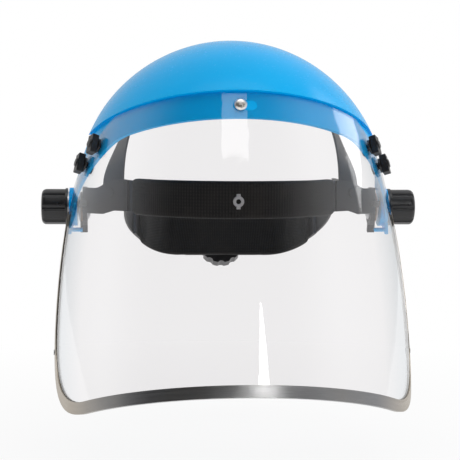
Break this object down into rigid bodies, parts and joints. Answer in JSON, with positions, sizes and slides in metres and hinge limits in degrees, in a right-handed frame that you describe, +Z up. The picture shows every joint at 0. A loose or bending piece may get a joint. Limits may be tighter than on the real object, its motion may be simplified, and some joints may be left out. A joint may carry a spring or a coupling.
{
  "type": "face shield",
  "caption": "Browguard face shield: ratchet headgear with brow and nape pads, a domed blue crown that tilts on side knobs, and a clear curved visor with a metal edge binding.",
  "frame": {"origin": "midpoint of the axis that the crown tilts about, between the two side knobs", "axes": "+Z up as worn, the wearer faces -Y, +X is the wearer's left hand side. Left and right in the node names are as seen from in front, so right is +X"},
  "size_m": [0.274, 0.3071, 0.2496],
  "materials": {
    "crown_plastic": "glossy moulded cyan blue",
    "clear_sheet": "clear sheet plastic, polished",
    "binding_metal": "rolled, fine lengthwise brushing",
    "rivet_metal": "plain zinc",
    "bright_nickel": "bright nickel dome",
    "headgear_plastic": "satin black moulded",
    "pad_fabric": "black knitted fabric over foam",
    "button_plastic": "light grey",
    "latch_plastic": "satin black",
    "knob_plastic": "semi-gloss black",
    "plated_steel": "zinc plated",
    "fibre": "brown fibre",
    "insert_brass": "turned brass",
    "pinion_plastic": "natural acetal"
  },
  "bodies": {
    "headgear": {"front_band": "headgear_plastic", "brow_pad": "pad_fabric", "pad_button": "button_plastic", "headgear_rivets": "headgear_plastic", "crown_strap_left": "headgear_plastic", "crown_strap_right": "headgear_plastic", "rear_strap_left": "headgear_plastic", "rear_strap_right": "headgear_plastic", "pivot_bolt_left": "plated_steel", "pivot_bolt_right": "plated_steel", "friction_washer_left": "fibre", "friction_washer_right": "fibre", "disc_spring_left": "plated_steel", "disc_spring_right": "plated_steel"},
    "crown": {"crown_shell": "crown_plastic", "visor_sheet": "clear_sheet", "edge_binding": "binding_metal", "binding_rivets": "rivet_metal", "centre_rivet": "bright_nickel", "rivet_washer": "rivet_metal", "latch_posts": "latch_plastic", "latch_bases": "latch_plastic"},
    "latch_upper_left": {"latch_lever_upper_left": "latch_plastic"},
    "latch_upper_right": {"latch_lever_upper_right": "latch_plastic"},
    "latch_lower_left": {"latch_lever_lower_left": "latch_plastic"},
    "latch_lower_right": {"latch_lever_lower_right": "latch_plastic"},
    "knob_left": {"tilt_knob_left": "knob_plastic", "knob_insert_left": "insert_brass", "knob_washer_left": "plated_steel"},
    "knob_right": {"tilt_knob_right": "knob_plastic", "knob_insert_right": "insert_brass", "knob_washer_right": "plated_steel"},
    "nape": {"nape_housing": "headgear_plastic", "nape_cover": "headgear_plastic", "nape_screws": "plated_steel", "nape_pad": "pad_fabric", "detent_spring": "plated_steel"},
    "strap_end_left": {"rack_left": "headgear_plastic"},
    "strap_end_right": {"rack_right": "headgear_plastic"},
    "ratchet": {"ratchet_knob": "knob_plastic", "drive_pinion": "pinion_plastic", "ratchet_screw": "plated_steel"}
  },
  "joints": [
    {"name": "visor_tilt", "type": "hinge", "parent": "headgear", "child": "crown", "pos_m": [0, 0, 0], "axis": [-1, 0, 0], "range_deg": [-25, 70]},
    {"name": "tilt_knob_turn_left", "type": "hinge", "parent": "headgear", "child": "knob_left", "pos_m": [-0.125, 0, 0], "axis": [-1, 0, 0], "range_deg": [0, 270]},
    {"name": "tilt_knob_turn_right", "type": "hinge", "parent": "headgear", "child": "knob_right", "pos_m": [0.125, 0, 0], "axis": [1, 0, 0], "range_deg": [0, 270]},
    {"name": "latch_turn_upper_left", "type": "hinge", "parent": "crown", "child": "latch_upper_left", "pos_m": [-0.0944, -0.05808, 0.04508], "axis": [-0.8674, -0.3758, 0.3261], "range_deg": [0, 90]},
    {"name": "latch_turn_upper_right", "type": "hinge", "parent": "crown", "child": "latch_upper_right", "pos_m": [0.0944, -0.05808, 0.04508], "axis": [0.8674, -0.3758, 0.3261], "range_deg": [0, 90]},
    {"name": "latch_turn_lower_left", "type": "hinge", "parent": "crown", "child": "latch_lower_left", "pos_m": [-0.10372, -0.04484, 0.03175], "axis": [-0.9203, -0.2641, 0.2885], "range_deg": [0, 90]},
    {"name": "latch_turn_lower_right", "type": "hinge", "parent": "crown", "child": "latch_lower_right", "pos_m": [0.10372, -0.04484, 0.03175], "axis": [0.9203, -0.2641, 0.2885], "range_deg": [0, 90]},
    {"name": "nape_slide", "type": "slide", "parent": "headgear", "child": "nape", "axis": [0, 0.9239, -0.3827], "range_m": [-0.024, 0]},
    {"name": "strap_feed_left", "type": "slide", "parent": "headgear", "child": "strap_end_left", "axis": [-0.6476, 0.7039, -0.2916], "range_m": [-0.0316, 0]},
    {"name": "strap_feed_right", "type": "slide", "parent": "headgear", "child": "strap_end_right", "axis": [0.6476, 0.7039, -0.2916], "range_m": [-0.0316, 0]},
    {"name": "ratchet_turn", "type": "hinge", "parent": "nape", "child": "ratchet", "pos_m": [0, 0.09239, -0.03177], "axis": [0, 0.9239, -0.3827], "range_deg": [-236, 0]}
  ],
  "couplings": [
    {"joint": "strap_feed_left", "follows": "nape_slide", "ratio": 1.3124},
    {"joint": "strap_feed_right", "follows": "nape_slide", "ratio": 1.3124},
    {"joint": "ratchet_turn", "follows": "nape_slide", "rad_per_m": 170}
  ]
}
